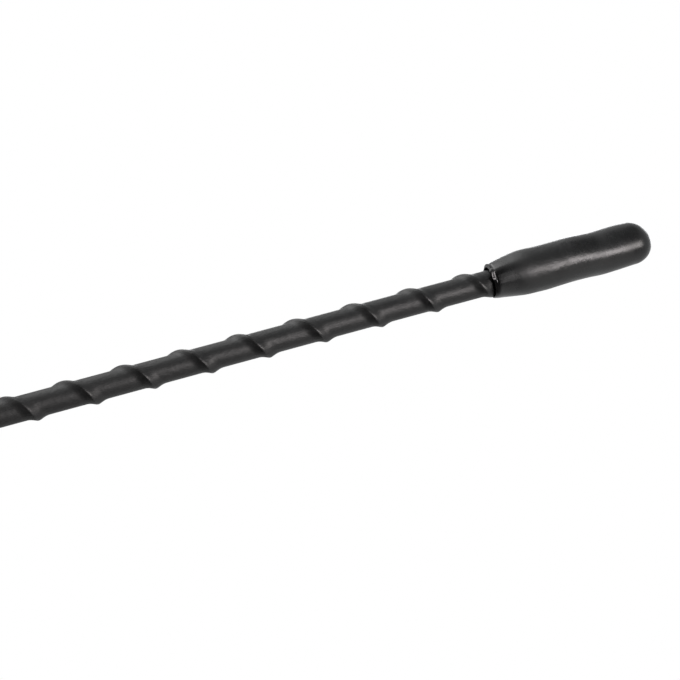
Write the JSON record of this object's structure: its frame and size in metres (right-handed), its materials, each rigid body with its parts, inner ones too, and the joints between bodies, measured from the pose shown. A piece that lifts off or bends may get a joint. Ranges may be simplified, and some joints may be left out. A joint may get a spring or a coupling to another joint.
{
  "type": "car mast aerial",
  "caption": "Short black car aerial: a slim whip rod in a sleeve with a right-handed spiral ridge, a rounded moulded tip cap, a tapered boot and a screw stud at its foot.",
  "frame": {"origin": "centre of the ferrule's seat face, on the mast's axis, where the screw stud begins", "axes": "+Z runs along the mast to its tip, -Z along the stud into what holds it; +X is the side where the ridge's crest passes the cap's mouth"},
  "size_m": [0.01, 0.01, 0.23],
  "materials": {
    "cap_moulding": "satin moulded black",
    "sleeve_skin": "dull black sleeve",
    "glass_fibre": "bare glass-fibre rod",
    "copper_wire": "drawn copper",
    "boot_rubber": "dull moulded black",
    "turned_brass": "turned brass"
  },
  "bodies": {
    "root": {"tip_cap": "cap_moulding", "spiral_sleeve": "sleeve_skin", "core_rod": "glass_fibre", "radiator_wire": "copper_wire", "base_boot": "boot_rubber", "base_ferrule": "turned_brass"}
  },
  "joints": []
}
